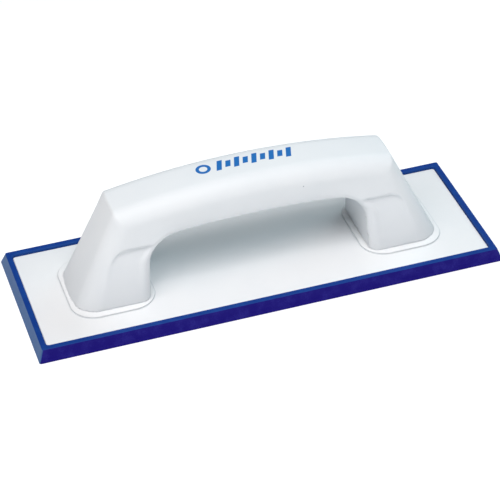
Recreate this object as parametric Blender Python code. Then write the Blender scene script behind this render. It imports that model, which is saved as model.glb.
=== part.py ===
"""Hand float with a plastic handle and plate on a rubber sole.

Metres, +Z up. The origin is the middle of the sole's working face, +X runs along the float's
length and +Y across it. The float is the same on its left and right and on its front and back.
Touching pieces keep a gap of GAP, which stands for the glue film or the moulder's fit.
"""

import bpy
import bmesh
from math import cos, pi, radians, sin, tan

MM = 0.001
GAP = 0.3 * MM

# Sole: a rubber pad with a bed for the plate, its sides sloping out to the working edge
SOLE_LENGTH = 280 * MM
SOLE_WIDTH = 100 * MM
SOLE_THICKNESS = 7.3 * MM
SOLE_SLOPE = 2.6 * MM
SOLE_BED = 2.4 * MM
SOLE_CORNER = 1.2 * MM
SOLE_EDGE_ROUND = 0.5 * MM

# Plate: a flat moulding sunk below the sole's rim, with a raised pad under each foot
PLATE_LENGTH = 267.4 * MM
PLATE_WIDTH = 86.8 * MM
PLATE_TOP = 5.7 * MM
PLATE_CORNER = 1.6 * MM
PLATE_EDGE_ROUND = 0.6 * MM
FOOT_CENTRE = 88.1 * MM
PAD_HALF_LENGTH = 24.8 * MM
PAD_HALF_WIDTH = 28.5 * MM
PAD_CORNER = 14.5 * MM
PAD_HEIGHT = 1.0 * MM
PAD_EDGE_ROUND = 0.35 * MM

# Handle: a bridge with a crowned grip, end faces that lean in, and sides that flare to the feet.
# Levels are measured up from the sole's working face.
FOOT_LEVEL = PLATE_TOP + PAD_HEIGHT + GAP
GRIP_TOP = 71.3 * MM
GRIP_TOP_RADIUS = 450 * MM
GRIP_HALF_WIDTH = 18.5 * MM
FOOT_HALF_WIDTH = 25.0 * MM
FLARE_TOP = 56 * MM
FLARE_POWER = 1.15
SHOULDER_DEPTH = 11 * MM
SHOULDER_SQUARENESS = 3.2
TUCK = 1.4 * MM
TUCK_TOP = 58 * MM
TUCK_DEPTH = 11 * MM
TUCK_FULL_TO = 40 * MM
TUCK_NONE_FROM = 62 * MM
END_AT_SOLE = 113.1 * MM
END_LEAN = radians(24.9)
END_BULGE = 1.6 * MM
END_CORNER_LOW = 11.5 * MM
END_CORNER_HIGH = 8 * MM
CORNER_OVERRUN = 0.35 * MM

# Finger arch: inner faces with a little draft, a corner radius, and a gently curved top
ARCH_HALF_WIDTH = 66.3 * MM
ARCH_DRAFT = 0.058
ARCH_TOP = 46.8 * MM
ARCH_TOP_RADIUS = 520 * MM
ARCH_CORNER = 14 * MM
ARCH_EDGE_GRIP = 1.2 * MM
ARCH_EDGE_CORNER = 5 * MM
ARCH_EDGE_FOOT = 7.0 * MM

# Hollow of the handle, its liner, ribs and screw bosses
WALL = 2.6 * MM
SCOOP_ALLOWANCE = 2.0 * MM
SCOOP_ALLOWANCE_FADE = 8 * MM
LINER_RECESS = 0.4 * MM
LINER_THICKNESS = 2.2 * MM
RIB_THICKNESS = 1.8 * MM
RIB_PLACES = (-36 * MM, 0.0, 36 * MM)
BOSS_OFFSET = 11 * MM
BOSS_RADIUS = 4.4 * MM
BOSS_TIP_RADIUS = 4.0 * MM
BOSS_TOP = 29 * MM

# Scoop in each side of each foot: a ledge along its top, running out towards its foot
SCOOP_TOP = 43.2 * MM
SCOOP_BOTTOM = 13 * MM
SCOOP_INNER = 70.5 * MM
SCOOP_OUTER = 96.2 * MM
SCOOP_SWEEP_WIDTH = 17 * MM
SCOOP_SWEEP_START = 5 * MM
SCOOP_OPEN_DEPTH = 11 * MM
SCOOP_OUTER_CORNER = 5 * MM
SCOOP_INNER_CORNER = 4 * MM
SCOOP_DEPTH_TOP = 2.2 * MM
SCOOP_DEPTH_BOTTOM = 0.5 * MM

# Countersunk screws, driven up through the plate into the bosses
SCREW_RADIUS = 2.0 * MM
SCREW_HEAD_RADIUS = 4.0 * MM
SCREW_HEAD_RIM = 3.8 * MM
SCREW_HEAD_EDGE = 0.25 * MM
SCREW_HEAD_HEIGHT = 2.2 * MM
SCREW_HEAD_LEVEL = SOLE_BED + GAP + 0.1 * MM
SCREW_TIP = 23 * MM
SCREW_POINT = 3 * MM
SCREW_POINT_RADIUS = 0.2 * MM
THREAD_PITCH = 1.8 * MM
THREAD_DEPTH = 0.35 * MM
RECESS_WIDTH = 1.0 * MM
RECESS_LENGTH = 4.4 * MM
RECESS_DEPTH = 1.4 * MM
RECESS_WIDE_END = 1.2
RECESS_NARROW_END = 0.7

# Fineness of the faceted shapes
CORNER_STEPS = 6
ROUND_STEPS = 28
SMALL_ROUND_STEPS = 20
BAR_STATIONS = 33
BAR_SIDE_STEPS = 9
BAR_CROWN_STEPS = 8
END_LEVELS = 8
END_CORNER_STEPS = 7
ARCH_SIDE_STEPS = 4
ARCH_CORNER_STEPS = 8
ARCH_TOP_STEPS = 7
ARCH_FLARE_STEPS = 4
SCOOP_SWEEP_STEPS = 6
SCOOP_CORNER_STEPS = 4

# Where cutting bodies stop: clear of the handle below, to its sides, and past its ends
BELOW = -10 * MM
BEYOND = 45 * MM
PAST_ENDS = 135 * MM


def smooth_step(low, high, value):
    """0 below low, 1 above high, with a smooth rise between."""
    t = min(max((value - low) / (high - low), 0.0), 1.0)
    return t * t * (3 - 2 * t)


def clear_scene():
    for thing in list(bpy.data.objects):
        bpy.data.objects.remove(thing, do_unlink=True)


def make_material(name, colour, roughness, metallic=0.0):
    """A Principled BSDF of one finish."""
    material = bpy.data.materials.new(name)
    material.use_nodes = True
    shader = material.node_tree.nodes["Principled BSDF"]
    shader.inputs["Base Color"].default_value = (*colour, 1)
    shader.inputs["Roughness"].default_value = roughness
    shader.inputs["Metallic"].default_value = metallic
    return material


def add_object(name, mesh, material=None, parent=None):
    piece = bpy.data.objects.new(name, mesh)
    bpy.context.collection.objects.link(piece)
    if material:
        mesh.materials.append(material)
    piece.parent = parent
    return piece


def loft(name, rings, material=None, parent=None):
    """A closed body through rings of equal point counts, with a flat cap at each end."""
    shape = bmesh.new()
    loops = [[shape.verts.new(point) for point in ring] for ring in rings]
    count = len(rings[0])
    for lower, upper in zip(loops, loops[1:]):
        for i in range(count):
            j = (i + 1) % count
            shape.faces.new((lower[i], lower[j], upper[j], upper[i]))
    shape.faces.new(reversed(loops[0]))
    shape.faces.new(loops[-1])
    bmesh.ops.recalc_face_normals(shape, faces=shape.faces)
    mesh = bpy.data.meshes.new(name)
    shape.to_mesh(mesh)
    shape.free()
    mesh.shade_smooth()
    mesh.set_sharp_from_angle(angle=radians(30))
    return add_object(name, mesh, material, parent)


def turned(name, profile, material=None, parent=None, steps=ROUND_STEPS):
    """A turned body from (radius, level) points, bottom to top, ends capped flat."""
    rings = []
    for radius, level in profile:
        angles = (2 * pi * i / steps for i in range(steps))
        rings.append([(radius * cos(a), radius * sin(a), level) for a in angles])
    return loft(name, rings, material, parent)


def helper(piece):
    """Marks a body that only shapes another one."""
    piece.hide_render = True
    piece.display_type = "WIRE"
    return piece


def combine(piece, other, operation):
    """A Boolean on piece with another body."""
    modifier = piece.modifiers.new(f"{operation.lower()}_{other.name}", "BOOLEAN")
    modifier.operation = operation
    modifier.object = other
    modifier.solver = "EXACT"


def rounded_rectangle(half_x, half_y, radius, level):
    """A ring: a rectangle with round corners, centred on the origin."""
    ring = []
    for corner, (sx, sy) in enumerate(((1, 1), (-1, 1), (-1, -1), (1, -1))):
        for step in range(CORNER_STEPS + 1):
            angle = pi / 2 * (corner + step / CORNER_STEPS)
            x = sx * (half_x - radius) + radius * cos(angle)
            y = sy * (half_y - radius) + radius * sin(angle)
            ring.append((x, y, level))
    return ring


def rounded_edge(half_x, half_y, radius, top, round_by):
    """Three rings that round the upper edge of a rectangle, ending at the level top."""
    rings = []
    for inset in (0.0, 0.3 * round_by, round_by):
        drop = round_by - (2 * inset * round_by - inset ** 2) ** 0.5
        rings.append(rounded_rectangle(half_x - inset, half_y - inset, radius, top - drop))
    return rings


def make_sole(material, parent):
    half_x = SOLE_LENGTH / 2
    half_y = SOLE_WIDTH / 2
    bed_x = PLATE_LENGTH / 2 + GAP
    bed_y = PLATE_WIDTH / 2 + GAP
    round_by = SOLE_EDGE_ROUND
    bed_corner = PLATE_CORNER + GAP
    top = SOLE_THICKNESS
    rings = [rounded_rectangle(half_x, half_y, SOLE_CORNER, 0)]
    rings += rounded_edge(half_x - SOLE_SLOPE, half_y - SOLE_SLOPE, SOLE_CORNER, top, round_by)
    rings.append(rounded_rectangle(bed_x + round_by, bed_y + round_by, bed_corner + round_by, top))
    rings.append(rounded_rectangle(bed_x, bed_y, bed_corner, top - round_by))
    rings.append(rounded_rectangle(bed_x, bed_y, bed_corner, SOLE_BED))
    return loft("rubber_sole", rings, material, parent)


def screw_places():
    """Name and place of each fixing screw, two to a foot."""
    for side, x in (("left", -FOOT_CENTRE), ("right", FOOT_CENTRE)):
        for row, y in (("front", -BOSS_OFFSET), ("back", BOSS_OFFSET)):
            yield f"{side}_{row}", x, y


def make_plate(material, parent):
    half_x = PLATE_LENGTH / 2
    half_y = PLATE_WIDTH / 2
    bottom = SOLE_BED + GAP
    rings = [rounded_rectangle(half_x, half_y, PLATE_CORNER, bottom)]
    rings += rounded_edge(half_x, half_y, PLATE_CORNER, PLATE_TOP, PLATE_EDGE_ROUND)
    plate = loft("base_plate", rings, material, parent)
    pad_top = PLATE_TOP + PAD_HEIGHT
    for side, x in (("left", -FOOT_CENTRE), ("right", FOOT_CENTRE)):
        rings = [rounded_rectangle(PAD_HALF_LENGTH, PAD_HALF_WIDTH, PAD_CORNER, bottom + MM)]
        rings += rounded_edge(PAD_HALF_LENGTH, PAD_HALF_WIDTH, PAD_CORNER, pad_top, PAD_EDGE_ROUND)
        pad = helper(loft(f"{side}_pad_form", rings))
        pad.location.x = x
        combine(plate, pad, "UNION")
    head_low = SCREW_HEAD_LEVEL
    for place, x, y in screw_places():
        profile = [
            (SCREW_HEAD_RADIUS + GAP, BELOW),
            (SCREW_HEAD_RADIUS + GAP, head_low),
            (SCREW_RADIUS + GAP, head_low + SCREW_HEAD_HEIGHT),
            (SCREW_RADIUS + GAP, pad_top + MM),
        ]
        hole = helper(turned(f"{place}_plate_hole", profile))
        hole.location = (x, y, 0)
        combine(plate, hole, "DIFFERENCE")
    return plate


def top_level(x):
    """Level of the grip's crest at x: an arc along the float."""
    return GRIP_TOP - GRIP_TOP_RADIUS + (GRIP_TOP_RADIUS ** 2 - x ** 2) ** 0.5


def side_half_width(x, level):
    """Half width of the handle below its shoulders: flared to the feet, tucked in under the grip."""
    low = min(max((FLARE_TOP - level) / (FLARE_TOP - FOOT_LEVEL), 0.0), 1.0)
    width = GRIP_HALF_WIDTH + (FOOT_HALF_WIDTH - GRIP_HALF_WIDTH) * low ** FLARE_POWER
    tuck = min(max((TUCK_TOP - level) / TUCK_DEPTH, 0.0), 1.0) ** 2
    return width - TUCK * tuck * (1 - smooth_step(TUCK_FULL_TO, TUCK_NONE_FROM, abs(x)))


def hollow_half_width(x, level):
    """Half width of the hollow, which leaves room for the scoops in the feet."""
    allowance = SCOOP_ALLOWANCE * (1 - smooth_step(SCOOP_TOP, SCOOP_TOP + SCOOP_ALLOWANCE_FADE, level))
    allowance *= smooth_step(TUCK_FULL_TO, TUCK_NONE_FROM, abs(x))
    return side_half_width(x, level) - WALL - allowance


def crowned_bar(name, half_width, inset, bottom):
    """A bar along X whose cross-section has the handle's sides and crowned top."""
    rings = []
    for i in range(BAR_STATIONS):
        x = PAST_ENDS * (2 * i / (BAR_STATIONS - 1) - 1)
        top = top_level(x) - inset
        shoulder = top - SHOULDER_DEPTH + 0.5 * inset
        half = []
        for j in range(BAR_SIDE_STEPS):
            level = bottom + (shoulder - bottom) * j / BAR_SIDE_STEPS
            half.append((half_width(x, level), level))
        at_shoulder = half_width(x, shoulder)
        for j in range(BAR_CROWN_STEPS + 1):
            angle = pi / 2 * j / BAR_CROWN_STEPS
            y = at_shoulder * cos(angle) ** (2 / SHOULDER_SQUARENESS) if j < BAR_CROWN_STEPS else 0.0
            half.append((y, shoulder + (top - shoulder) * sin(angle) ** (2 / SHOULDER_SQUARENESS)))
        other = [(-y, z) for y, z in reversed(half[:-1])]
        rings.append([(x, y, z) for y, z in half + other])
    return loft(name, rings)


def end_block(name, inset, bottom):
    """A block whose ends are the handle's leaning end faces, with their bulge and round corners."""
    rings = []
    highest = GRIP_TOP + 5 * MM
    for i in range(END_LEVELS):
        level = bottom + (highest - bottom) * i / (END_LEVELS - 1)
        low = min(max((highest - level) / (highest - FOOT_LEVEL), 0.0), 1.0)
        corner = END_CORNER_HIGH + (END_CORNER_LOW - END_CORNER_HIGH) * low - 0.5 * inset
        end = END_AT_SOLE - level * tan(END_LEAN) - inset
        width = side_half_width(END_AT_SOLE, level) + CORNER_OVERRUN - inset
        flat = width - corner
        halfway = end - END_BULGE * (0.5 * flat / GRIP_HALF_WIDTH) ** 2
        at_corner = end - END_BULGE * (flat / GRIP_HALF_WIDTH) ** 2
        quarter = [(end, 0.0), (halfway, 0.5 * flat)]
        for j in range(END_CORNER_STEPS + 1):
            angle = pi / 2 * j / END_CORNER_STEPS
            quarter.append((at_corner - corner * (1 - cos(angle)), flat + corner * sin(angle)))
        quarter.append((quarter[-1][0], BEYOND))
        right = quarter + [(-x, y) for x, y in reversed(quarter)]
        ring = right + [(x, -y) for x, y in reversed(right)]
        ring = [p for k, p in enumerate(ring) if p != ring[k - 1]]
        rings.append([(x, y, level) for x, y in ring])
    return loft(name, rings)


def envelope(name, half_width, inset, bottom):
    """The handle's outer form, or the same form set in by a wall."""
    body = crowned_bar(name, half_width, inset, bottom)
    ends = helper(end_block(f"{name}_ends", inset, bottom))
    combine(body, ends, "INTERSECT")
    return body


def arch_line(grow=0.0, bottom=BELOW):
    """Points (x, level) and outward directions along the finger arch, left foot to right foot."""
    wide = ARCH_HALF_WIDTH
    centre_x = wide - ARCH_CORNER
    top_drop = ARCH_TOP_RADIUS - (ARCH_TOP_RADIUS ** 2 - centre_x ** 2) ** 0.5
    centre_z = ARCH_TOP - top_drop - ARCH_CORNER
    lean = centre_x / ARCH_TOP_RADIUS
    right = [(wide, bottom, 1.0, 0.0)]
    for j in range(1, ARCH_SIDE_STEPS + 1):
        right.append((wide, bottom + (centre_z - bottom) * j / ARCH_SIDE_STEPS, 1.0, 0.0))
    for j in range(1, ARCH_CORNER_STEPS + 1):
        angle = (pi / 2 - lean) * j / ARCH_CORNER_STEPS
        nx = cos(angle)
        nz = sin(angle)
        right.append((centre_x + ARCH_CORNER * nx, centre_z + ARCH_CORNER * nz, nx, nz))
    for j in range(1, ARCH_TOP_STEPS + 1):
        angle = lean * (1 - j / ARCH_TOP_STEPS)
        nx = sin(angle)
        nz = cos(angle)
        right.append((ARCH_TOP_RADIUS * nx, ARCH_TOP - ARCH_TOP_RADIUS * (1 - nz), nx, nz))
    left = [(-x, z, -nx, nz) for x, z, nx, nz in right[:-1]]
    line = []
    for x, z, nx, nz in left + right[::-1]:
        narrowed = 1 - ARCH_DRAFT * (z - FOOT_LEVEL) / ARCH_HALF_WIDTH
        line.append((x * narrowed + grow * nx, z + grow * nz, nx, nz))
    return line


def arch_edge_radius(x, level):
    """Rounding of the arch's edge: small along the grip, wider into the feet."""
    into_corner = smooth_step(TUCK_FULL_TO, ARCH_HALF_WIDTH, abs(x))
    down_foot = 1 - smooth_step(FOOT_LEVEL, ARCH_TOP, level)
    grown = ARCH_EDGE_CORNER + (ARCH_EDGE_FOOT - ARCH_EDGE_CORNER) * down_foot
    return ARCH_EDGE_GRIP + (grown - ARCH_EDGE_GRIP) * into_corner


def arch_form(name):
    """The finger arch as a body, flaring at its two mouths to round the arch's edges."""
    line = arch_line()
    half = [[(x, 0.0, z) for x, z, nx, nz in line]]
    for station in range(ARCH_FLARE_STEPS + 1):
        angle = pi / 2 * station / ARCH_FLARE_STEPS
        ring = []
        for x, z, nx, nz in line:
            level = max(z, FOOT_LEVEL)
            edge = arch_edge_radius(x, level)
            y = side_half_width(x, level) - edge * (1 - sin(angle))
            grow = edge * (1 - cos(angle))
            ring.append((x + grow * nx, y, z + grow * nz))
        half.append(ring)
    half.append([(x, BEYOND, z) for x, y, z in half[-1]])
    back = [[(x, -y, z) for x, y, z in ring] for ring in reversed(half[1:])]
    return loft(name, back + half)


def scoop_outline():
    """Front-view outline of a scoop, as (x, level) points about the right foot."""
    points = [(ARCH_HALF_WIDTH + ARCH_EDGE_CORNER, SCOOP_TOP)]
    sweep_x = SCOOP_OUTER - SCOOP_SWEEP_WIDTH
    sweep_z = SCOOP_BOTTOM + SCOOP_SWEEP_START
    for j in range(SCOOP_SWEEP_STEPS + 1):
        angle = pi / 2 * (1 - j / SCOOP_SWEEP_STEPS)
        x = sweep_x + SCOOP_SWEEP_WIDTH * cos(angle)
        points.append((x, sweep_z + (SCOOP_TOP - sweep_z) * sin(angle)))
    outer_corner = (SCOOP_OUTER - SCOOP_OUTER_CORNER, SCOOP_OUTER_CORNER, 0.0)
    inner_corner = (SCOOP_INNER + SCOOP_INNER_CORNER, SCOOP_INNER_CORNER, -pi / 2)
    for centre_x, radius, start in (outer_corner, inner_corner):
        for j in range(SCOOP_CORNER_STEPS + 1):
            angle = start - pi / 2 * j / SCOOP_CORNER_STEPS
            points.append((centre_x + radius * cos(angle), SCOOP_BOTTOM + radius + radius * sin(angle)))
    points.append((SCOOP_INNER, SCOOP_TOP - SCOOP_OPEN_DEPTH))
    return points


def scoop_form(name, side, row):
    """The body that cuts one scoop: its inner face leans from deep at the top to shallow below."""
    low_y = side_half_width(FOOT_CENTRE, SCOOP_BOTTOM) - SCOOP_DEPTH_BOTTOM
    high_y = side_half_width(FOOT_CENTRE, SCOOP_TOP) - SCOOP_DEPTH_TOP
    lean = (high_y - low_y) / (SCOOP_TOP - SCOOP_BOTTOM)
    outline = scoop_outline()
    inner = [(side * x, row * (low_y + lean * (z - SCOOP_BOTTOM)), z) for x, z in outline]
    outer = [(side * x, row * BEYOND, z) for x, z in outline]
    return loft(name, [inner, outer])


def box(name, low, high):
    """A plain box between two corners."""
    ring = [(low[0], low[1]), (high[0], low[1]), (high[0], high[1]), (low[0], high[1])]
    return loft(name, [[(x, y, low[2]) for x, y in ring], [(x, y, high[2]) for x, y in ring]])


def inner_ribs():
    """Cross ribs in the grip, and screw bosses tied to the end walls, trimmed to the hollow."""
    frame = helper(envelope("rib_limits", rib_half_width, 0.5 * WALL, FOOT_LEVEL + GAP))
    pieces = []
    for number, x in enumerate(RIB_PLACES, 1):
        half = 0.5 * RIB_THICKNESS
        low = (x - half, -BEYOND, FOOT_LEVEL)
        high = (x + half, BEYOND, GRIP_TOP)
        pieces.append(box(f"grip_rib_{number}", low, high))
    for place, x, y in screw_places():
        profile = [(BOSS_RADIUS, FOOT_LEVEL), (BOSS_TIP_RADIUS, BOSS_TOP)]
        boss = turned(f"{place}_boss", profile, steps=SMALL_ROUND_STEPS)
        boss.location = (x, y, 0)
        out = 1 if x > 0 else -1
        half = 0.5 * RIB_THICKNESS
        ends = sorted((x, out * END_AT_SOLE))
        web = box(f"{place}_web", (ends[0], y - half, FOOT_LEVEL), (ends[1], y + half, BOSS_TOP - MM))
        pieces += [boss, web]
    first = pieces[0]
    for other in pieces[1:]:
        combine(first, helper(other), "UNION")
    combine(first, frame, "INTERSECT")
    grown = arch_line(grow=LINER_RECESS + LINER_THICKNESS + GAP)
    rings = [[(x, y, z) for x, z, nx, nz in grown] for y in (-BEYOND, BEYOND)]
    combine(first, helper(loft("liner_room", rings)), "DIFFERENCE")
    return helper(first)


def rib_half_width(x, level):
    """Ribs run halfway into the wall."""
    return hollow_half_width(x, level) + 0.5 * WALL


def make_handle(material, parent):
    shell = envelope("handle_shell", side_half_width, 0.0, FOOT_LEVEL)
    shell.data.materials.append(material)
    shell.parent = parent
    for side, x in (("left", -1), ("right", 1)):
        for row, y in (("front", -1), ("back", 1)):
            combine(shell, helper(scoop_form(f"{side}_{row}_scoop", x, y)), "DIFFERENCE")
    hollow = helper(envelope("handle_hollow", hollow_half_width, WALL, BELOW))
    combine(shell, hollow, "DIFFERENCE")
    combine(shell, inner_ribs(), "UNION")
    combine(shell, helper(arch_form("finger_arch")), "DIFFERENCE")
    for place, x, y in screw_places():
        radius = SCREW_RADIUS + GAP
        profile = [(radius, BELOW), (radius, SCREW_TIP + MM)]
        bore = helper(turned(f"{place}_bore", profile, steps=SMALL_ROUND_STEPS))
        bore.location = (x, y, 0)
        combine(shell, bore, "DIFFERENCE")
    return shell


def make_liner(material, parent):
    """The strip that closes the handle's hollow along the finger arch."""
    rings = []
    for x, z, nx, nz in arch_line(bottom=FOOT_LEVEL + GAP):
        ring = []
        for offset in (LINER_RECESS, LINER_RECESS + LINER_THICKNESS):
            at_x = x + offset * nx
            at_z = z + offset * nz
            half = hollow_half_width(at_x, at_z) - GAP
            ends = ((at_x, -half, at_z), (at_x, half, at_z))
            ring += ends if offset == LINER_RECESS else ends[::-1]
        rings.append(ring)
    return loft("grip_liner", rings, material, parent)


def make_screw(place, x, y, material, parent):
    """A countersunk self-tapping screw with turned threads and a cross recess, head down."""
    head_top = SCREW_HEAD_LEVEL + SCREW_HEAD_HEIGHT
    profile = [
        (SCREW_HEAD_RIM, SCREW_HEAD_LEVEL),
        (SCREW_HEAD_RADIUS, SCREW_HEAD_LEVEL + SCREW_HEAD_EDGE),
        (SCREW_RADIUS, head_top),
    ]
    core = SCREW_RADIUS - THREAD_DEPTH
    level = FOOT_LEVEL + MM
    while level + THREAD_PITCH < SCREW_TIP - SCREW_POINT:
        profile.append((core, level))
        profile.append((SCREW_RADIUS, level + 0.5 * THREAD_PITCH))
        level += THREAD_PITCH
    profile.append((core, SCREW_TIP - SCREW_POINT))
    profile.append((SCREW_POINT_RADIUS, SCREW_TIP))
    screw = turned(f"screw_{place}", profile, material, parent, steps=SMALL_ROUND_STEPS)
    screw.location = (x, y, 0)
    wide_end = (RECESS_WIDE_END, SCREW_HEAD_LEVEL - MM)
    narrow_end = (RECESS_NARROW_END, SCREW_HEAD_LEVEL + RECESS_DEPTH)
    blades = {"long": (RECESS_LENGTH, RECESS_WIDTH), "cross": (RECESS_WIDTH, RECESS_LENGTH)}
    for way, (length, width) in blades.items():
        rings = []
        for shrink, level in (wide_end, narrow_end):
            rx = 0.5 * length * shrink
            ry = 0.5 * width * shrink
            rings.append([(rx, ry, level), (-rx, ry, level), (-rx, -ry, level), (rx, -ry, level)])
        blade = helper(loft(f"{place}_recess_{way}", rings))
        blade.location = (x, y, 0)
        combine(screw, blade, "DIFFERENCE")
    return screw


def main():
    clear_scene()
    rubber = make_material("blue_rubber", (0.014, 0.02, 0.19), 0.45)
    white = make_material("white_plastic", (0.82, 0.84, 0.85), 0.38)
    steel = make_material("zinc_steel", (0.62, 0.63, 0.64), 0.32, 1.0)
    hand_float = bpy.data.objects.new("hand_float", None)
    bpy.context.collection.objects.link(hand_float)
    make_sole(rubber, hand_float)
    make_plate(white, hand_float)
    make_handle(white, hand_float)
    make_liner(white, hand_float)
    for place, x, y in screw_places():
        make_screw(place, x, y, steel, hand_float)


main()
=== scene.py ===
"""The looks of a rubber-soled hand float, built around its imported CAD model.

Each visible CAD piece gets a finer piece in its place: the rubber sole, the plate with its foot pads,
the handle and the liner of its finger arch. The screws under the plate are made again with real threads.
Places and overall sizes come from the frame's boxes. Lengths here are in metres.
"""

from math import cos, pi, radians, sin

import bmesh
import bpy
from mathutils import Matrix, Vector


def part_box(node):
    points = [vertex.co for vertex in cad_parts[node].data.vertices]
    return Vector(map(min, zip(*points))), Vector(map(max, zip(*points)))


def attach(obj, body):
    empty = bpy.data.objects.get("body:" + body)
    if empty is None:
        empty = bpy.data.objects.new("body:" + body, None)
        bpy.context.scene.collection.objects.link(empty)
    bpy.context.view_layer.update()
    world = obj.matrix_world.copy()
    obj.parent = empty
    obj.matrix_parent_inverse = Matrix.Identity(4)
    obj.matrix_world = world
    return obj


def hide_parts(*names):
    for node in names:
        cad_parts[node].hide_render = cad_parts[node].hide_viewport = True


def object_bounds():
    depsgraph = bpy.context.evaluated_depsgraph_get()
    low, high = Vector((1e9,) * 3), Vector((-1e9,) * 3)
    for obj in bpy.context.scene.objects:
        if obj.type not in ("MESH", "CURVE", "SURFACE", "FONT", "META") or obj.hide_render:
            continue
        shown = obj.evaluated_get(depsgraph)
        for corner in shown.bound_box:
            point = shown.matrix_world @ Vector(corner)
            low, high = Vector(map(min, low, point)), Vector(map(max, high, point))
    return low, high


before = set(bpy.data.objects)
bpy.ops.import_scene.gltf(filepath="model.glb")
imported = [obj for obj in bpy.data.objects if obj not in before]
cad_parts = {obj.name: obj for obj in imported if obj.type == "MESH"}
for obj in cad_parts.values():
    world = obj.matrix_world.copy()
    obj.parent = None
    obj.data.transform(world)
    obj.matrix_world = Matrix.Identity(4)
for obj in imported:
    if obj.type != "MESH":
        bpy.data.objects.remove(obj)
cad_low, cad_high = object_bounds()

MM = 0.001

# Sole
SOLE_SLOPE = 2.6 * MM
SOLE_CORNER = 1.2 * MM
SOLE_BED = 2.4 * MM
BED_GAP = 0.3 * MM
RIM_ROUND = 0.5 * MM

# Plate and the pads moulded on it
PLATE_TOP = 5.7 * MM
PLATE_CORNER = 1.6 * MM
PLATE_ROUND = 0.5 * MM
PAD_HALF_LENGTH = 24.8 * MM
PAD_HALF_WIDTH = 28.5 * MM
PAD_CORNER = 14.5 * MM
PAD_CENTRE = 88.1 * MM
PAD_STEP = 0.8 * MM
PAD_BEAD = 2.4 * MM

# Printed device on the crown of the grip, and a speck on its front side
PRINT_CENTRE_Y = 2.6 * MM
PRINT_RING_X = -26 * MM
PRINT_RING_RADIUS = 3.4 * MM
PRINT_LINE = 1.0 * MM
PRINT_ROW_START = -19 * MM
PRINT_PITCH = 5.2 * MM
PRINT_COUNT = 9
PRINT_HALF_HEIGHT = 4.6 * MM
PRINT_SHORTER = 0.7  # twice the share of its height that every other bar loses
PRINT_SLANT = 0.3
PRINT_BAR = 0.3  # half a bar's width, as a share of the pitch
PRINT_LOWEST = 60 * MM
PRINT_SOFTNESS = 0.08 * MM
PRINT_BLUE = (0.01, 0.15, 0.48, 1)
SPECK_PLACE = (27.0 * MM, -18.2 * MM, 59.7 * MM)
SPECK_GREY = (0.2, 0.24, 0.3, 1)
# Painted shade along the step round each pad
STEP_SHADE_GREY = (0.42, 0.47, 0.5, 1)

# Liner of the finger arch
LINER_RECESS = 0.4 * MM
LINER_THICKNESS = 2.2 * MM
LINER_CORNER_STEPS = 24
LINER_TOP_STEPS = 40
LINER_HALF_AT_GRIP = 14.4 * MM

# Screws
SCREW_SIDES = 32
SCREW_TIP = 0.1 * MM
THREAD_STEPS = 24
THREAD_SIDES = 3
SCREW_SIZES = {
    "Head Radius": 4.0 * MM,
    "Head Height": 2.2 * MM,
    "Shank Radius": 1.65 * MM,
    "Thread Depth": 0.35 * MM,
    "Pitch": 1.8 * MM,
    "Point": 3.0 * MM,
    "Recess Length": 4.4 * MM,
    "Recess Width": 1.0 * MM,
    "Recess Depth": 1.4 * MM,
}

# Meshes
CORNER_STEPS = 16
ROUND_STEPS = 5
SMALLEST_CORNER = 0.2 * MM
SHARP_ANGLE = radians(35)


class Wire:
    """A socket in a node tree. Arithmetic on wires and numbers adds Math nodes."""

    def __init__(self, graph, socket):
        self.graph = graph
        self.socket = socket

    def math(self, operation, *values):
        inputs = dict(enumerate((self, *values)))
        return self.graph.add("ShaderNodeMath", {"operation": operation}, inputs)

    def __add__(self, other):
        return self.math("ADD", other)

    __radd__ = __add__

    def __mul__(self, other):
        return self.math("MULTIPLY", other)

    __rmul__ = __mul__

    def __sub__(self, other):
        return self.math("SUBTRACT", other)

    def __rsub__(self, other):
        return -self + other

    def __truediv__(self, other):
        return self.math("DIVIDE", other)

    def __pow__(self, power):
        return self.math("POWER", power)

    def __neg__(self):
        return self.math("MULTIPLY", -1.0)

    def __abs__(self):
        return self.math("ABSOLUTE")

    def min(self, other):
        return self.math("MINIMUM", other)

    def max(self, other):
        return self.math("MAXIMUM", other)

    def root(self):
        return self.math("SQRT")

    def ramp(self, low, high):
        """0 below low, 1 above high, smooth between."""
        settings = {"interpolation_type": "SMOOTHSTEP"}
        values = {"Value": self, "From Min": low, "From Max": high}
        return self.graph.add("ShaderNodeMapRange", settings, values)


class Graph:
    """Adds nodes to a tree."""

    def __init__(self, tree):
        self.tree = tree

    def add(self, kind, settings=None, values=None, output=0):
        """One output of a new node: its settings are made first, then its sockets' values or wires."""
        node = self.tree.nodes.new(kind)
        for name, setting in (settings or {}).items():
            setattr(node, name, setting)
        for name, value in (values or {}).items():
            if isinstance(value, Wire):
                self.tree.links.new(value.socket, node.inputs[name])
            else:
                node.inputs[name].default_value = value
        return Wire(self, node.outputs[output])

    def split(self, vector):
        """The three parts of a vector."""
        first = self.add("ShaderNodeSeparateXYZ", None, {0: vector})
        return [Wire(self, socket) for socket in first.socket.node.outputs]

    def combine(self, x, y, z):
        return self.add("ShaderNodeCombineXYZ", None, {0: x, 1: y, 2: z})

    def vector(self, operation, *values, output=0):
        values = dict(enumerate(values))
        return self.add("ShaderNodeVectorMath", {"operation": operation}, values, output)

    def layered(self, colour, layers):
        """A base colour under layers of (cover, colour)."""
        for cover, paint in layers:
            colour = self.mixed(cover, colour, paint)
        return colour

    def mixed(self, cover, under, over):
        """Two colours mixed. The colour sockets of a Mix node are numbers 6 and 7, and its result 2."""
        values = {"Factor": cover, 6: under, 7: over}
        return self.add("ShaderNodeMix", {"data_type": "RGBA"}, values, 2)


def rounded(a, b, radius):
    """Both of two distances, inside below zero, with a round edge where they meet."""
    outside = ((a + radius).max(0.0) ** 2 + (b + radius).max(0.0) ** 2).root()
    return a.max(b).min(-radius) + outside


# ---------------------------------------------------------------------------------------------------
# Building meshes


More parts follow.
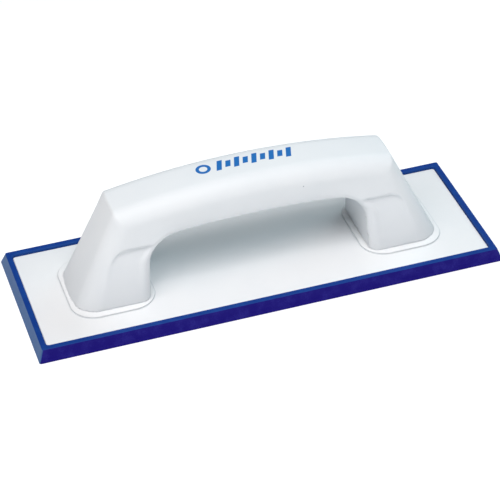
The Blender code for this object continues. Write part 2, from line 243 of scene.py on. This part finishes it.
def mesh_object(name, mesh):
    """An object for a mesh, put in the scene."""
    piece = bpy.data.objects.new(name, mesh)
    bpy.context.scene.collection.objects.link(piece)
    return piece


def lofted(name, rings):
    """A closed body through rings of equal point counts, capped flat at both ends."""
    shape = bmesh.new()
    loops = [[shape.verts.new(point) for point in ring] for ring in rings]
    count = len(rings[0])
    for lower, upper in zip(loops, loops[1:]):
        for i in range(count):
            j = (i + 1) % count
            shape.faces.new((lower[i], lower[j], upper[j], upper[i]))
    shape.faces.new(loops[0][::-1])
    shape.faces.new(loops[-1])
    bmesh.ops.recalc_face_normals(shape, faces=shape.faces)
    mesh = bpy.data.meshes.new(name)
    shape.to_mesh(mesh)
    shape.free()
    mesh.shade_smooth()
    mesh.set_sharp_from_angle(angle=SHARP_ANGLE)
    return mesh_object(name, mesh)


def rectangle_ring(half_x, half_y, radius, level, centre_x=0.0):
    """A rectangle with round corners, as a ring of points at one level."""
    ring = []
    for corner, (sx, sy) in enumerate(((1, 1), (-1, 1), (-1, -1), (1, -1))):
        for step in range(CORNER_STEPS + 1):
            angle = pi / 2 * (corner + step / CORNER_STEPS)
            x = centre_x + sx * (half_x - radius) + radius * cos(angle)
            y = sy * (half_y - radius) + radius * sin(angle)
            ring.append((x, y, level))
    return ring


def eased_edge(half_x, half_y, corner, top, round_by, inward=1):
    """Rings over a rounded edge, from below the edge to the level top."""
    rings = []
    for step in range(ROUND_STEPS + 1):
        angle = pi / 2 * step / ROUND_STEPS
        inset = inward * round_by * (1 - cos(angle))
        level = top - round_by * (1 - sin(angle))
        radius = max(corner - inset, SMALLEST_CORNER)
        rings.append(rectangle_ring(half_x - inset, half_y - inset, radius, level))
    return rings


def evaluated_piece(name, tree, sizes):
    """The plain mesh that a Geometry Nodes tree makes with these named sizes."""
    carrier = mesh_object(f"{name}_carrier", bpy.data.meshes.new(f"{name}_start"))
    modifier = carrier.modifiers.new("shape", "NODES")
    modifier.node_group = tree
    for item in tree.interface.items_tree:
        if item.in_out == "INPUT" and item.name in sizes:
            modifier[item.identifier] = sizes[item.name]
    depsgraph = bpy.context.evaluated_depsgraph_get()
    mesh = bpy.data.meshes.new_from_object(carrier.evaluated_get(depsgraph))
    mesh.name = name
    bpy.data.objects.remove(carrier)
    return mesh_object(name, mesh)


def new_tree(name, inputs, outputs):
    """The graph, the inputs and the output node of a new Geometry Nodes tree with these named sockets."""
    tree = bpy.data.node_groups.new(name, "GeometryNodeTree")
    for label, kind, default in inputs:
        socket = tree.interface.new_socket(label, in_out="INPUT", socket_type=f"NodeSocket{kind}")
        if default is not None:
            socket.default_value = default
    for label, kind in outputs:
        tree.interface.new_socket(label, in_out="OUTPUT", socket_type=f"NodeSocket{kind}")
    graph = Graph(tree)
    source = tree.nodes.new("NodeGroupInput")
    wires = {socket.name: Wire(graph, socket) for socket in source.outputs if socket.name}
    sink = tree.nodes.new("NodeGroupOutput")
    return graph, wires, sink


def finish_piece(piece, material, replaced):
    """Gives a finished piece its material and its body, and hides the CAD node it stands for."""
    piece.data.materials.clear()
    piece.data.materials.append(material)
    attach(piece, "root")
    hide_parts(replaced)


# ---------------------------------------------------------------------------------------------------
# Handle

HANDLE_LOW, HANDLE_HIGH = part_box("handle_shell")
FOOT_DROP = 0.35 * MM  # brings the feet down onto the pads

# The sizes a maker would set
HANDLE_SIZES = {
    "Foot Level": HANDLE_LOW.z - FOOT_DROP,
    "Grip Top": HANDLE_HIGH.z,
    "Grip Top Radius": 450 * MM,
    "Grip Half Width": 18.5 * MM,
    "Foot Half Width": HANDLE_HIGH.y,
    "Flare Top": 56 * MM,
    "Shoulder": 10.5 * MM,
    "Crown": 0.6 * MM,
    "Tuck": 2.0 * MM,
    "End At Sole": 114.4 * MM,
    "End Slope": 0.486,
    "End Bulge": 1.3 * MM,
    "End Corner Low": 11.5 * MM,
    "End Corner High": 8 * MM,
    "Crease": 1.0 * MM,
    "Arch Half Width": 66.3 * MM,
    "Arch Draft": 0.058,
    "Arch Top": 46.8 * MM,
    "Arch Top Radius": 520 * MM,
    "Arch Corner": 14 * MM,
    "Edge On Grip": 2.8 * MM,
    "Edge In Corner": 5.0 * MM,
    "Edge In Foot": 7.0 * MM,
    "Scoop Top": 43.6 * MM,
    "Scoop Bottom": 13 * MM,
    "Scoop Inner": 70.5 * MM,
    "Scoop Outer": 96.2 * MM,
    "Scoop Depth": 2.3 * MM,
    "Wall": 2.6 * MM,
}

# How the sides run
SIDE_LEAN = 0.99  # cosine of the sides' lean
FLARE_CURVE = 1.15
TUCK_HEIGHT = 11 * MM
TUCK_FADE = (40 * MM, 62 * MM)
EDGE_GROWS_FROM = 36 * MM

# How the scoop runs: its sweep is the round of its upper outer corner, its inner edge opens upwards
SCOOP_TOE = 0.15  # share of the depth that is left at the bottom
SCOOP_LEDGE = 3.4 * MM
SCOOP_SWEEP = 19 * MM
SCOOP_EDGE = 1.8 * MM
SCOOP_EDGE_LOW = 4 * MM
SCOOP_EDGE_SPAN = (0.2, 0.9)
SCOOP_OPENS_ABOVE = 18 * MM
SCOOP_OPENS_BY = 8 * MM
SCOOP_INNER_SET = 2 * MM
SCOOP_CORNER = 4 * MM
SCOOP_FADE = 5 * MM
SCOOP_WALL = 2 * MM
SCOOP_WALL_FADE = 8 * MM

# How finely the handle's surface is found
HANDLE_CELL = 0.85 * MM
FIELD_MARGIN = 3 * HANDLE_CELL
FIELD_BAND = 6 * HANDLE_CELL
SETTLING_ROUNDS = 3
SETTLING_SHARE = 0.9
SLOPE_STEP = 0.05 * MM
LEAST_STEEPNESS = 0.2


def arc_drop(x, radius):
    """How far an arc of this radius has dropped at x from its top."""
    return radius - (radius * radius - x * x).root()


def side_width(x, z, size):
    """Half width of the handle below its shoulders: flared to the feet, tucked in under the grip."""
    low = ((size["Flare Top"] - z) / (size["Flare Top"] - size["Foot Level"])).max(0.0).min(1.0)
    flare = (size["Foot Half Width"] - size["Grip Half Width"]) * low ** FLARE_CURVE
    tuck = ((size["Arch Top"] + TUCK_HEIGHT - z) / TUCK_HEIGHT).max(0.0).min(1.0) ** 2
    return size["Grip Half Width"] + flare - size["Tuck"] * tuck * (1 - x.ramp(*TUCK_FADE))


def scoop_depth(x, z, size):
    """Depth of the scoop in the foot's side: a soft ledge on top, running out below."""
    top = size["Scoop Top"]
    bottom = size["Scoop Bottom"]
    up = ((z - bottom) / (top - bottom)).max(0.0).min(1.0)
    depth = size["Scoop Depth"] * (SCOOP_TOE + (1 - SCOOP_TOE) * up ** 2)
    ledge = (top - z).ramp(0.0, SCOOP_LEDGE)
    across = ((x - size["Scoop Outer"] + SCOOP_SWEEP) / SCOOP_SWEEP).max(0.0)
    out = (1 - (across ** 2 + up ** 2).root()) * SCOOP_SWEEP
    edge = out.ramp(0.0, SCOOP_EDGE + SCOOP_EDGE_LOW * (1 - up.ramp(*SCOOP_EDGE_SPAN)))
    opened = z.ramp(bottom + SCOOP_OPENS_ABOVE, top)
    inner = size["Scoop Inner"] - SCOOP_INNER_SET - SCOOP_OPENS_BY * opened - x
    lower = rounded(inner, bottom - z, SCOOP_CORNER)
    return depth * ledge * edge * (-lower).ramp(0.0, SCOOP_FADE)


def handle_distance_tree():
    """Distance to the handle's surface at a point, below zero inside the wall."""
    inputs = [("Position", "Vector", None)]
    inputs += [(label, "Float", value) for label, value in HANDLE_SIZES.items()]
    graph, size, sink = new_tree("handle_distance", inputs, [("Distance", "Float")])
    x, y, z = graph.split(size["Position"])
    x = abs(x)
    y = abs(y)
    wall = size["Wall"]
    slope = size["End Slope"]
    lean = (1 + slope * slope) ** -0.5
    width = side_width(x, z, size)
    high = ((z - size["Foot Level"]) / (size["Grip Top"] - size["Foot Level"])).max(0.0).min(1.0)
    corner = size["End Corner Low"] + (size["End Corner High"] - size["End Corner Low"]) * high
    crest = size["Grip Top"] - arc_drop(x, size["Grip Top Radius"])
    across = (y / size["Grip Half Width"]) ** 2
    top = z - crest + size["Crown"] * across
    end = (x - size["End At Sole"] + z * slope + size["End Bulge"] * across) * lean
    side = (y - width) * SIDE_LEAN
    bar = rounded(side + scoop_depth(x, z, size), top, size["Shoulder"])
    block = rounded(side, end, corner)
    outer = bar.math("SMOOTH_MAX", block, size["Crease"])
    arch_x = x - size["Arch Half Width"] + size["Arch Draft"] * (z - size["Foot Level"])
    arch_z = z - size["Arch Top"] + arc_drop(x, size["Arch Top Radius"])
    arch = rounded(arch_x, arch_z, size["Arch Corner"])
    into_foot = x.ramp(EDGE_GROWS_FROM, size["Arch Half Width"])
    down = 1 - z.ramp(size["Foot Level"], size["Arch Top"])
    grown = size["Edge In Corner"] + (size["Edge In Foot"] - size["Edge In Corner"]) * down
    edge = size["Edge On Grip"] + (grown - size["Edge On Grip"]) * into_foot
    skin = rounded(outer, -arch, edge).max(size["Foot Level"] - z)
    scooped = (1 - z.ramp(size["Scoop Top"], size["Scoop Top"] + SCOOP_WALL_FADE)) * x.ramp(*TUCK_FADE)
    inward = side + wall + SCOOP_WALL * scooped
    hollow_bar = rounded(inward, top + wall, size["Shoulder"] - 0.5 * wall)
    hollow_block = rounded(side + wall, end + wall, corner - 0.5 * wall)
    shell = skin.max(-hollow_bar.max(hollow_block))
    graph.tree.links.new(shell.socket, sink.inputs["Distance"])
    return graph.tree


def handle_tree():
    """A fine mesh of the handle's surface, from its distance field."""
    field = handle_distance_tree()
    inputs = [(label, "Float", value) for label, value in HANDLE_SIZES.items()]
    inputs += [("Material", "Material", None)]
    graph, size, sink = new_tree("handle", inputs, [("Mesh", "Geometry")])

    def distance(point):
        wires = {label: size[label] for label in HANDLE_SIZES}
        return graph.add("GeometryNodeGroup", {"node_tree": field}, {"Position": point, **wires})

    position = graph.add("GeometryNodeInputPosition")
    margin = Vector((FIELD_MARGIN, FIELD_MARGIN, FIELD_MARGIN))
    low = HANDLE_LOW - margin
    high = HANDLE_HIGH + margin
    counts = [round(span / HANDLE_CELL) for span in high - low]
    density = (0.5 - distance(position) / FIELD_BAND).max(0.0).min(1.0)
    cube = {
        "Density": density,
        "Background": 0.0,
        "Min": low,
        "Max": high,
        "Resolution X": counts[0],
        "Resolution Y": counts[1],
        "Resolution Z": counts[2],
    }
    volume = graph.add("GeometryNodeVolumeCube", None, cube)
    surface = {"Volume": volume, "Threshold": 0.5}
    mesh = graph.add("GeometryNodeVolumeToMesh", {"resolution_mode": "GRID"}, surface)
    for _ in range(SETTLING_ROUNDS):
        here = distance(position)
        slopes = []
        for way in ((SLOPE_STEP, 0, 0), (0, SLOPE_STEP, 0), (0, 0, SLOPE_STEP)):
            ahead = distance(graph.vector("ADD", position, way))
            slopes.append((ahead - here) / SLOPE_STEP)
        gradient = graph.combine(*slopes)
        steep = graph.vector("DOT_PRODUCT", gradient, gradient, output="Value").max(LEAST_STEEPNESS)
        pull = {0: gradient, "Scale": -here / steep * SETTLING_SHARE}
        move = graph.add("ShaderNodeVectorMath", {"operation": "SCALE"}, pull)
        mesh = graph.add("GeometryNodeSetPosition", None, {"Geometry": mesh, "Offset": move})
    mesh = graph.add("GeometryNodeSetShadeSmooth", None, {"Geometry": mesh})
    mesh = graph.add("GeometryNodeRealizeInstances", None, {"Geometry": mesh})
    mesh = graph.add("GeometryNodeSetMaterial", None, {"Geometry": mesh, "Material": size["Material"]})
    graph.tree.links.new(mesh.socket, sink.inputs["Mesh"])
    return graph.tree


def arch_path():
    """Points (x, level) along the finger arch and their outward directions, left foot to right foot."""
    size = HANDLE_SIZES
    corner = size["Arch Corner"]
    radius = size["Arch Top Radius"]
    centre_x = size["Arch Half Width"] - corner
    centre_z = size["Arch Top"] - radius + (radius ** 2 - centre_x ** 2) ** 0.5 - corner
    lean = centre_x / radius
    foot = HANDLE_LOW.z + BED_GAP
    right = [(size["Arch Half Width"], foot, 1.0, 0.0)]
    for step in range(LINER_CORNER_STEPS + 1):
        angle = (pi / 2 - lean) * step / LINER_CORNER_STEPS
        out_x = cos(angle)
        out_z = sin(angle)
        right.append((centre_x + corner * out_x, centre_z + corner * out_z, out_x, out_z))
    for step in range(1, LINER_TOP_STEPS + 1):
        angle = lean * (1 - step / LINER_TOP_STEPS)
        out_x = sin(angle)
        out_z = cos(angle)
        right.append((radius * out_x, size["Arch Top"] - radius * (1 - out_z), out_x, out_z))
    drafted = []
    for x, z, out_x, out_z in right:
        x -= size["Arch Draft"] * (z - foot) * x / size["Arch Half Width"]
        drafted.append((x, z, out_x, out_z))
    return [(-x, z, -out_x, out_z) for x, z, out_x, out_z in drafted[:-1]] + drafted[::-1]


def make_liner():
    """The strip that closes the handle's hollow along the finger arch, set in a little from its edge."""
    low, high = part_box("grip_liner")
    rings = []
    for x, z, out_x, out_z in arch_path():
        down = min(max((high.z - z) / (high.z - low.z), 0.0), 1.0)
        half = LINER_HALF_AT_GRIP + (high.y - LINER_HALF_AT_GRIP) * down ** FLARE_CURVE
        depth = LINER_RECESS + LINER_THICKNESS
        near = (x + LINER_RECESS * out_x, z + LINER_RECESS * out_z)
        far = (x + depth * out_x, z + depth * out_z)
        rings.append([
            (near[0], -half, near[1]),
            (near[0], half, near[1]),
            (far[0], half, far[1]),
            (far[0], -half, far[1]),
        ])
    return lofted("liner", rings)


# ---------------------------------------------------------------------------------------------------
# Screws


def screw_tree():
    """A countersunk screw, head down: head, shank, point, a wound thread and a cross recess."""
    inputs = [(label, "Float", value) for label, value in SCREW_SIZES.items()]
    inputs += [("Place", "Vector", None), ("Length", "Float", None), ("Material", "Material", None)]
    graph, size, sink = new_tree("screw", inputs, [("Mesh", "Geometry")])
    shank = size["Shank Radius"]
    straight = size["Length"] - size["Head Height"] - size["Point"]

    def moved(body, offset):
        return graph.add("GeometryNodeTransform", None, {"Geometry": body, "Translation": offset})

    def cone(bottom, top, depth, level):
        sizes = {"Vertices": SCREW_SIDES, "Radius Bottom": bottom, "Radius Top": top, "Depth": depth}
        body = graph.add("GeometryNodeMeshCone", None, sizes)
        return moved(body, graph.combine(0.0, 0.0, level))

    head = cone(size["Head Radius"], shank, size["Head Height"], 0.0)
    for across, along in (("Recess Length", "Recess Width"), ("Recess Width", "Recess Length")):
        block = graph.combine(size[across], size[along], 2 * size["Recess Depth"])
        cut = {"Mesh 1": head, "Mesh 2": graph.add("GeometryNodeMeshCube", None, {"Size": block})}
        head = graph.add("GeometryNodeMeshBoolean", {"operation": "DIFFERENCE"}, cut)
    body = cone(shank, shank, straight, size["Head Height"])
    point = cone(shank, SCREW_TIP, size["Point"], size["Head Height"] + straight)
    spiral = {
        "Resolution": THREAD_STEPS,
        "Rotations": straight / size["Pitch"],
        "Start Radius": shank,
        "End Radius": shank,
        "Height": straight,
    }
    path = graph.add("GeometryNodeCurveSpiral", None, spiral)
    path = moved(path, graph.combine(0.0, 0.0, size["Head Height"]))
    ridge = {"Resolution": THREAD_SIDES, "Radius": size["Thread Depth"]}
    section = graph.add("GeometryNodeCurvePrimitiveCircle", None, ridge)
    wound = {"Curve": path, "Profile Curve": section, "Fill Caps": True}
    thread = graph.add("GeometryNodeCurveToMesh", None, wound)
    join = graph.tree.nodes.new("GeometryNodeJoinGeometry")
    for part in (head, body, point, thread):
        graph.tree.links.new(part.socket, join.inputs["Geometry"])
    whole = moved(Wire(graph, join.outputs["Geometry"]), size["Place"])
    whole = graph.add("GeometryNodeRealizeInstances", None, {"Geometry": whole})
    whole = graph.add("GeometryNodeSetMaterial", None, {"Geometry": whole, "Material": size["Material"]})
    graph.tree.links.new(whole.socket, sink.inputs["Mesh"])
    return graph.tree


def make_screws(material):
    """One screw in each screw's box, in place of the plain one."""
    tree = screw_tree()
    for name in [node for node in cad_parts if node.startswith("screw")]:
        low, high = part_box(name)
        place = ((low.x + high.x) / 2, (low.y + high.y) / 2, low.z)
        sizes = {**SCREW_SIZES, "Place": place, "Length": high.z - low.z, "Material": material}
        screw = evaluated_piece(f"threaded_{name}", tree, sizes)
        screw.data.set_sharp_from_angle(angle=SHARP_ANGLE)
        finish_piece(screw, material, name)


# ---------------------------------------------------------------------------------------------------
# Sole and plate


def make_sole():
    """The rubber pad: sides sloping out to a sharp working edge, and a rim round the plate's bed."""
    low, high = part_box("rubber_sole")
    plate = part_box("base_plate")[1]
    bed_x = plate.x + BED_GAP
    bed_y = plate.y + BED_GAP
    bed_corner = PLATE_CORNER + BED_GAP
    rings = [rectangle_ring(high.x, high.y, SOLE_CORNER, low.z)]
    rings += eased_edge(high.x - SOLE_SLOPE, high.y - SOLE_SLOPE, SOLE_CORNER, high.z, RIM_ROUND)
    rings += eased_edge(bed_x, bed_y, bed_corner, high.z, RIM_ROUND, inward=-1)[::-1]
    rings.append(rectangle_ring(bed_x, bed_y, bed_corner, SOLE_BED))
    return lofted("sole", rings)


def pad_rings(low, high, centre):
    """A pad: a short upright step all round, then a full bead that rolls in to the foot."""
    rings = [(0.0, low), (0.0, PLATE_TOP + PAD_STEP)]
    rise = high - PLATE_TOP - PAD_STEP
    for step in range(1, 2 * ROUND_STEPS + 1):
        angle = pi / 4 * step / ROUND_STEPS
        rings.append((PAD_BEAD * (1 - cos(angle)), PLATE_TOP + PAD_STEP + rise * sin(angle)))
    return [
        rectangle_ring(PAD_HALF_LENGTH - inset, PAD_HALF_WIDTH - inset, PAD_CORNER - inset, level, centre)
        for inset, level in rings
    ]


def make_plate():
    """The plate, with a raised round-cornered pad under each foot."""
    low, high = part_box("base_plate")
    rings = [rectangle_ring(high.x, high.y, PLATE_CORNER, low.z)]
    rings += eased_edge(high.x, high.y, PLATE_CORNER, PLATE_TOP, PLATE_ROUND)
    plate = lofted("plate", rings)
    for centre in (-PAD_CENTRE, PAD_CENTRE):
        pad = lofted("pad", pad_rings(low.z + MM, high.z, centre))
        modifier = plate.modifiers.new("pad", "BOOLEAN")
        modifier.operation = "UNION"
        modifier.object = pad
        depsgraph = bpy.context.evaluated_depsgraph_get()
        joined = bpy.data.meshes.new_from_object(plate.evaluated_get(depsgraph))
        plate.modifiers.clear()
        plate.data = joined
        bpy.data.objects.remove(pad)
    plate.data.shade_smooth()
    plate.data.set_sharp_from_angle(angle=SHARP_ANGLE)
    return plate


# ---------------------------------------------------------------------------------------------------
# Materials

HANDLE_TINT = (0.82, 0.848, 0.866)
HANDLE_SHADE = (0.8, 0.832, 0.853)
HANDLE_ROUGHNESS = 0.55
PLATE_TINT = (0.86, 0.873, 0.88)
PLATE_SHADE = (0.84, 0.857, 0.868)
PLATE_ROUGHNESS = 0.42
RUBBER_SIDE = (0.007, 0.002, 0.165, 1)
RUBBER_WORN = (0.02, 0.016, 0.22, 1)
# Painted sheen: the paler colour of the end faces
RUBBER_END_PAINTED_SHEEN = (0.055, 0.135, 0.32, 1)
# Painted light: the rim top and its worn mottle, coloured lighter and bluer where the light falls from
# above
RUBBER_TOP_PAINTED_LIGHT = (0.007, 0.042, 0.245, 1)
RUBBER_TOP_PAINTED_LIGHT_WORN = (0.01, 0.07, 0.3, 1)
RUBBER_BED_WALL = (0.008, 0.055, 0.26, 1)
STEEL_DULL = (0.5, 0.51, 0.53, 1)
STEEL_BRIGHT = (0.68, 0.69, 0.7, 1)


def new_material(name):
    """A material, its graph and its Principled shader."""
    material = bpy.data.materials.new(name)
    material.use_nodes = True
    return material, Graph(material.node_tree), material.node_tree.nodes["Principled BSDF"]


def satin_plastic(name, tint, shade, roughness, marks):
    """Moulded plastic: faint cloudiness in colour and gloss, a fine matt grain, and any marks on it, which
    are print or painted shade.
    """
    material, graph, shader = new_material(name)
    place = graph.add("ShaderNodeTexCoord", None, None, "Object")
    cloud = graph.add("ShaderNodeTexNoise", None, {"Vector": place, "Scale": 38.0, "Detail": 3.0})
    fine = graph.add("ShaderNodeTexNoise", None, {"Vector": place, "Scale": 2600.0, "Detail": 2.0})
    layers = [(cloud.ramp(0.3, 0.7), (*tint, 1)), *marks(graph, place)]
    rough = roughness + 0.06 * (cloud - 0.5) + 0.05 * (fine - 0.5)
    bump = graph.add("ShaderNodeBump", None, {"Strength": 0.12, "Distance": 0.05 * MM, "Height": fine})
    links = material.node_tree.links
    links.new(graph.layered((*shade, 1), layers).socket, shader.inputs["Base Color"])
    links.new(rough.socket, shader.inputs["Roughness"])
    links.new(bump.socket, shader.inputs["Normal"])
    return material


def grip_marks(graph, place):
    """A plain printed device on the crown, a ring and slanted bars, and one small speck on the side."""
    x, y, z = graph.split(place)
    y = y - PRINT_CENTRE_Y
    from_centre = ((x - PRINT_RING_X) ** 2 + y ** 2).root()
    ring = PRINT_LINE - abs(from_centre - PRINT_RING_RADIUS)
    row = (x - PRINT_SLANT * y - PRINT_ROW_START) / PRINT_PITCH
    bars = (PRINT_BAR - abs(row.math("FRACT") - 0.5)) * PRINT_PITCH
    tall = PRINT_HALF_HEIGHT * (1 - PRINT_SHORTER * (row.math("FLOOR") * 0.5).math("FRACT"))
    bars = bars.min(tall - abs(y)).min(row * PRINT_PITCH).min((PRINT_COUNT - row) * PRINT_PITCH)
    inked = ring.max(bars).min(z - PRINT_LOWEST).ramp(-PRINT_SOFTNESS, PRINT_SOFTNESS)
    away = graph.vector("DISTANCE", place, SPECK_PLACE, output="Value")
    speck = 0.6 * (1 - away.ramp(0.25 * MM, 0.6 * MM))
    return [(inked, PRINT_BLUE), (speck, SPECK_GREY)]


def pad_step_shade(graph, place):
    """Painted shade: a darker grey line along the step round each pad."""
    x, y, _ = graph.split(place)
    outline = rounded(abs(abs(x) - PAD_CENTRE) - PAD_HALF_LENGTH, abs(y) - PAD_HALF_WIDTH, PAD_CORNER)
    # Painted shade: darker grey where the plate meets each pad's step
    painted_step_shade = 0.35 * (1 - abs(outline - 0.2 * MM).ramp(0.1 * MM, 0.6 * MM))
    return [(painted_step_shade, STEP_SHADE_GREY)]


def blue_rubber(bed):
    """Moulded rubber: deep blue sides, paler bed walls and a faint worn mottle, with light painted in: a
    lighter, bluer rim top where the light falls from above, and paler ends that are a painted sheen.
    """
    material, graph, shader = new_material("blue_rubber")
    place = graph.add("ShaderNodeTexCoord", None, None, "Object")
    normal = graph.add("ShaderNodeNewGeometry", None, None, "Normal")
    face_x, _, face_z = graph.split(normal)
    x, y, _ = graph.split(place)
    # Painted light: upward faces are coloured lighter and bluer, where the light falls from above
    up = face_z.ramp(0.45, 0.9)
    # Painted sheen: faces turned to the ends are coloured paler
    end = abs(face_x).ramp(0.4, 0.8)
    inside = 1 - (abs(x) - bed.x).max(abs(y) - bed.y).ramp(0.3 * MM, 1.1 * MM)
    cloud = graph.add("ShaderNodeTexNoise", None, {"Vector": place, "Scale": 160.0, "Detail": 5.0})
    fine = graph.add("ShaderNodeTexNoise", None, {"Vector": place, "Scale": 1400.0, "Detail": 3.0})
    mottle = (0.6 * cloud + 0.4 * fine).ramp(0.42, 0.68)
    layers = (
        (mottle * 0.8, RUBBER_WORN),
        (end, RUBBER_END_PAINTED_SHEEN),
        (up, RUBBER_TOP_PAINTED_LIGHT),
        (up * mottle * 0.6, RUBBER_TOP_PAINTED_LIGHT_WORN),
        (inside, RUBBER_BED_WALL),
    )
    colour = graph.layered(RUBBER_SIDE, layers)
    rough = 0.5 + 0.16 * (cloud - 0.5) + 0.1 * (fine - 0.5)
    bump = graph.add("ShaderNodeBump", None, {"Strength": 0.3, "Distance": 0.08 * MM, "Height": fine})
    shader.inputs["Specular IOR Level"].default_value = 0.12
    links = material.node_tree.links
    links.new(colour.socket, shader.inputs["Base Color"])
    links.new(rough.socket, shader.inputs["Roughness"])
    links.new(bump.socket, shader.inputs["Normal"])
    return material


def zinc_steel():
    """Bright plated steel for the screws."""
    material, graph, shader = new_material("zinc_steel")
    place = graph.add("ShaderNodeTexCoord", None, None, "Object")
    fine = graph.add("ShaderNodeTexNoise", None, {"Vector": place, "Scale": 1500.0, "Detail": 3.0})
    rough = 0.28 + 0.15 * (fine - 0.5)
    colour = graph.mixed(fine, STEEL_DULL, STEEL_BRIGHT)
    shader.inputs["Metallic"].default_value = 1.0
    links = material.node_tree.links
    links.new(colour.socket, shader.inputs["Base Color"])
    links.new(rough.socket, shader.inputs["Roughness"])
    return material


# ---------------------------------------------------------------------------------------------------
# Camera, floor and light

CAMERA_AZIMUTH = radians(-17.092)
CAMERA_ELEVATION = radians(37.441)
CAMERA_ROLL = radians(-1.649)
CAMERA_DISTANCE = 1.20322
CAMERA_LENS = 147.02
CAMERA_TARGET = Vector((-0.000043, 0.000923, 0.007241))
SENSOR_WIDTH = 36.0
SOFTBOX_DISTANCE = 1.6
SOFTBOX_SIZE = 1.0
SOFTBOXES = (  # name, azimuth, elevation, power, colour
    ("front", 0, 64, 14.0, (0.969, 0.978, 1.0)),
    ("left", -60, 66, 13.2, (1.0, 0.949, 0.933)),
    ("back_right", 120, 35, 6.3, (0.637, 0.909, 1.0)),
)
SKY_TINT = (0.85, 0.94, 1.0, 1)
SKY_STRENGTH = 0.06
FLOOR_HALF = 4.0
FLOOR_GAP = 0.2 * MM
FLOOR_GLOW = 0.27


def make_camera():
    """A long lens, from the left and above."""
    data = bpy.data.cameras.new("camera")
    camera = bpy.data.objects.new("camera", data)
    bpy.context.scene.collection.objects.link(camera)
    data.sensor_width = SENSOR_WIDTH
    data.lens = CAMERA_LENS
    data.clip_start = 0.05
    data.clip_end = 20.0
    flat = cos(CAMERA_ELEVATION)
    back = Vector((sin(CAMERA_AZIMUTH) * flat, -cos(CAMERA_AZIMUTH) * flat, sin(CAMERA_ELEVATION)))
    turn = (-back).to_track_quat("-Z", "Y").to_matrix() @ Matrix.Rotation(CAMERA_ROLL, 3, "Z")
    camera.matrix_world = Matrix.Translation(CAMERA_TARGET + back * CAMERA_DISTANCE) @ turn.to_4x4()
    bpy.context.scene.camera = camera


def make_floor():
    """A white floor that glows a little, just under the sole."""
    mesh = bpy.data.meshes.new("floor")
    level = cad_low.z - FLOOR_GAP
    corners = [(x * FLOOR_HALF, y * FLOOR_HALF, level) for x, y in ((-1, -1), (1, -1), (1, 1), (-1, 1))]
    mesh.from_pydata(corners, [], [(0, 1, 2, 3)])
    floor = mesh_object("floor", mesh)
    material, _, shader = new_material("floor_white")
    shader.inputs["Base Color"].default_value = (0.9, 0.9, 0.9, 1)
    shader.inputs["Roughness"].default_value = 0.9
    shader.inputs["Emission Color"].default_value = (1, 1, 1, 1)
    shader.inputs["Emission Strength"].default_value = FLOOR_GLOW
    mesh.materials.append(material)


def add_softbox(name, azimuth, elevation, power, colour):
    """A square soft light, SOFTBOX_DISTANCE from the float. Azimuth 0 is in front, and -90 to the left."""
    data = bpy.data.lights.new(name, "AREA")
    data.shape = "SQUARE"
    data.size = SOFTBOX_SIZE
    data.energy = power
    data.color = colour
    light = bpy.data.objects.new(name, data)
    bpy.context.scene.collection.objects.link(light)
    turn = radians(azimuth)
    rise = radians(elevation)
    towards = Vector((sin(turn) * cos(rise), -cos(turn) * cos(rise), sin(rise)))
    light.location = towards * SOFTBOX_DISTANCE
    light.rotation_euler = towards.to_track_quat("Z", "Y").to_euler()


def make_light():
    """Three soft lights and a faint cool sky."""
    world = bpy.data.worlds.new("studio")
    bpy.context.scene.world = world
    world.use_nodes = True
    background = world.node_tree.nodes["Background"]
    background.inputs["Color"].default_value = SKY_TINT
    background.inputs["Strength"].default_value = SKY_STRENGTH
    for softbox in SOFTBOXES:
        add_softbox(*softbox)
    bpy.context.scene.view_settings.view_transform = "Standard"


def main():
    make_camera()
    make_light()
    make_floor()
    handle_white = satin_plastic("handle_white", HANDLE_TINT, HANDLE_SHADE, HANDLE_ROUGHNESS, grip_marks)
    plate_white = satin_plastic("plate_white", PLATE_TINT, PLATE_SHADE, PLATE_ROUGHNESS, pad_step_shade)
    finish_piece(make_sole(), blue_rubber(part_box("base_plate")[1]), "rubber_sole")
    finish_piece(make_plate(), plate_white, "base_plate")
    handle = evaluated_piece("handle", handle_tree(), {**HANDLE_SIZES, "Material": handle_white})
    finish_piece(handle, handle_white, "handle_shell")
    finish_piece(make_liner(), handle_white, "grip_liner")
    make_screws(zinc_steel())


main()
